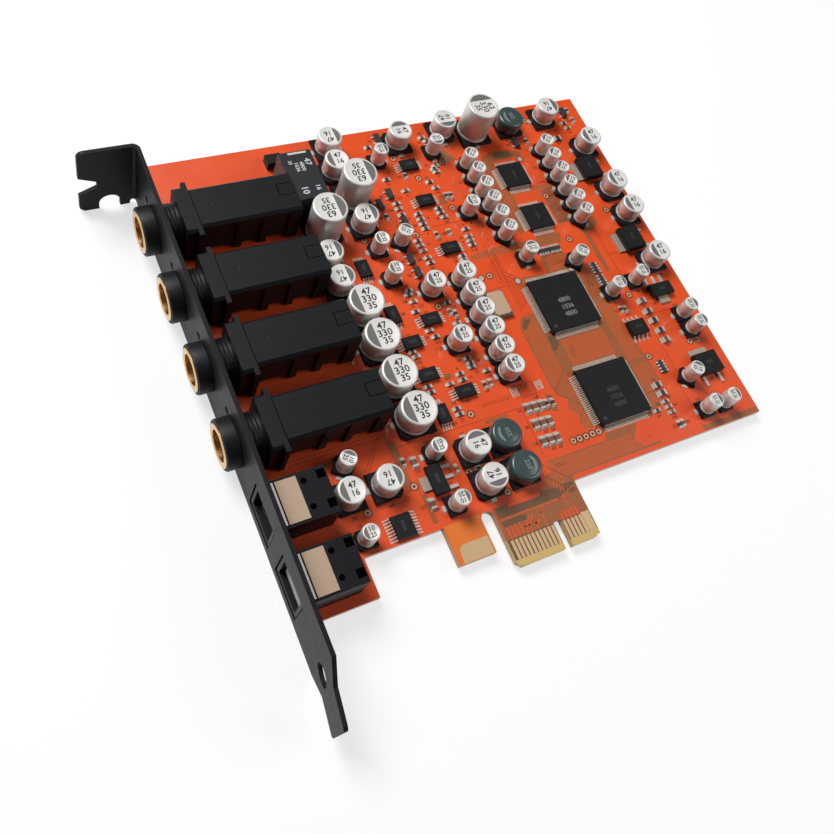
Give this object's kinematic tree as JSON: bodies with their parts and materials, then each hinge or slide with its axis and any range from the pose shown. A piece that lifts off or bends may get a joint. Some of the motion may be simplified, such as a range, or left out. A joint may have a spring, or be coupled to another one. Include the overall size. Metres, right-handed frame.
{
  "type": "computer sound card",
  "caption": "Full-height computer sound card with a black bracket, large round audio jacks, shuttered optical sockets, can capacitors and a short edge connector.",
  "frame": {"origin": "centre of the key slot at the free end of the edge connector tongue, on the component face of the board", "axes": "+X along the card away from the bracket, +Y up the card away from the connector, +Z out of the component face; the card lies solder side down"},
  "size_m": [0.1334, 0.126, 0.0184],
  "materials": {
    "solder_mask": "satin orange-red solder mask over copper tracks",
    "contact_gold": "pale gold plating",
    "bracket_paint": "satin dark grey-black",
    "jack_black": "matte",
    "nut_black": "satin",
    "brass": "satin",
    "contact_strip": "satin tin-plated strip",
    "socket_grey": "matte",
    "shield_metal": "satin beige metal",
    "shutter_plastic": "gloss",
    "can_metal": "satin with a printed grey sector",
    "base_plastic": "matte",
    "tinned": "bright tinned",
    "chip_black": "fine matte",
    "relay_black": "satin",
    "ferrite": "satin dark teal",
    "clock_ceramic": "matte",
    "lid_metal": "satin",
    "chip_brown": "satin with tinned ends",
    "chip_grey": "satin with tinned ends",
    "tab_metal": "satin tinned copper"
  },
  "bodies": {
    "card": {"circuit_board": "solder_mask", "edge_contacts": "contact_gold", "bracket": "bracket_paint", "jack_housing_1": "jack_black", "jack_housing_2": "jack_black", "jack_housing_3": "jack_black", "jack_housing_4": "jack_black", "jack_sleeves": "brass", "jack_nuts": "nut_black", "jack_tip_springs": "contact_strip", "jack_ring_springs": "contact_strip", "jack_ground_lugs": "contact_strip", "optical_housing_1": "socket_grey", "optical_shield_1": "shield_metal", "optical_housing_2": "socket_grey", "optical_shield_2": "shield_metal", "optical_diodes": "chip_black", "optical_diode_leads": "tinned", "relay_case": "relay_black", "relay_pins": "tinned", "diode": "chip_black", "capacitor_cans_tall": "can_metal", "capacitor_bases_tall": "base_plastic", "capacitor_cans_low": "can_metal", "capacitor_bases_low": "base_plastic", "capacitor_cans_medium": "can_metal", "capacitor_bases_medium": "base_plastic", "capacitor_cans_small": "can_metal", "capacitor_bases_small": "base_plastic", "capacitor_cans_tiny": "can_metal", "capacitor_bases_tiny": "base_plastic", "chips_large": "chip_black", "chips_middle": "chip_black", "chips_eight": "chip_black", "chip_amplifier": "chip_black", "chip_sixteen": "chip_black", "chip_leads": "tinned", "chokes": "ferrite", "choke_feet": "base_plastic", "clock_base": "clock_ceramic", "clock_lid": "lid_metal", "power_cases": "chip_black", "power_tabs": "tab_metal", "power_legs": "tinned", "chips_along_x": "chip_brown", "chips_along_y": "chip_grey", "chips_big_x": "chip_grey", "chips_big_y": "chip_grey", "resistor_arrays": "chip_grey", "small_cases": "chip_black"},
    "shutter_1": {"optical_shutter_1": "shutter_plastic"},
    "shutter_2": {"optical_shutter_2": "shutter_plastic"}
  },
  "joints": [
    {"name": "shutter_1_hinge", "type": "hinge", "parent": "card", "child": "shutter_1", "pos_m": [-0.0567, 0.0255, 0.0073], "axis": [0, -1, 0], "range_deg": [0, 80], "stiffness_Nm_per_rad": 0.00001},
    {"name": "shutter_2_hinge", "type": "hinge", "parent": "card", "child": "shutter_2", "pos_m": [-0.0567, 0.0115, 0.0073], "axis": [0, -1, 0], "range_deg": [0, 80], "stiffness_Nm_per_rad": 0.00001}
  ]
}
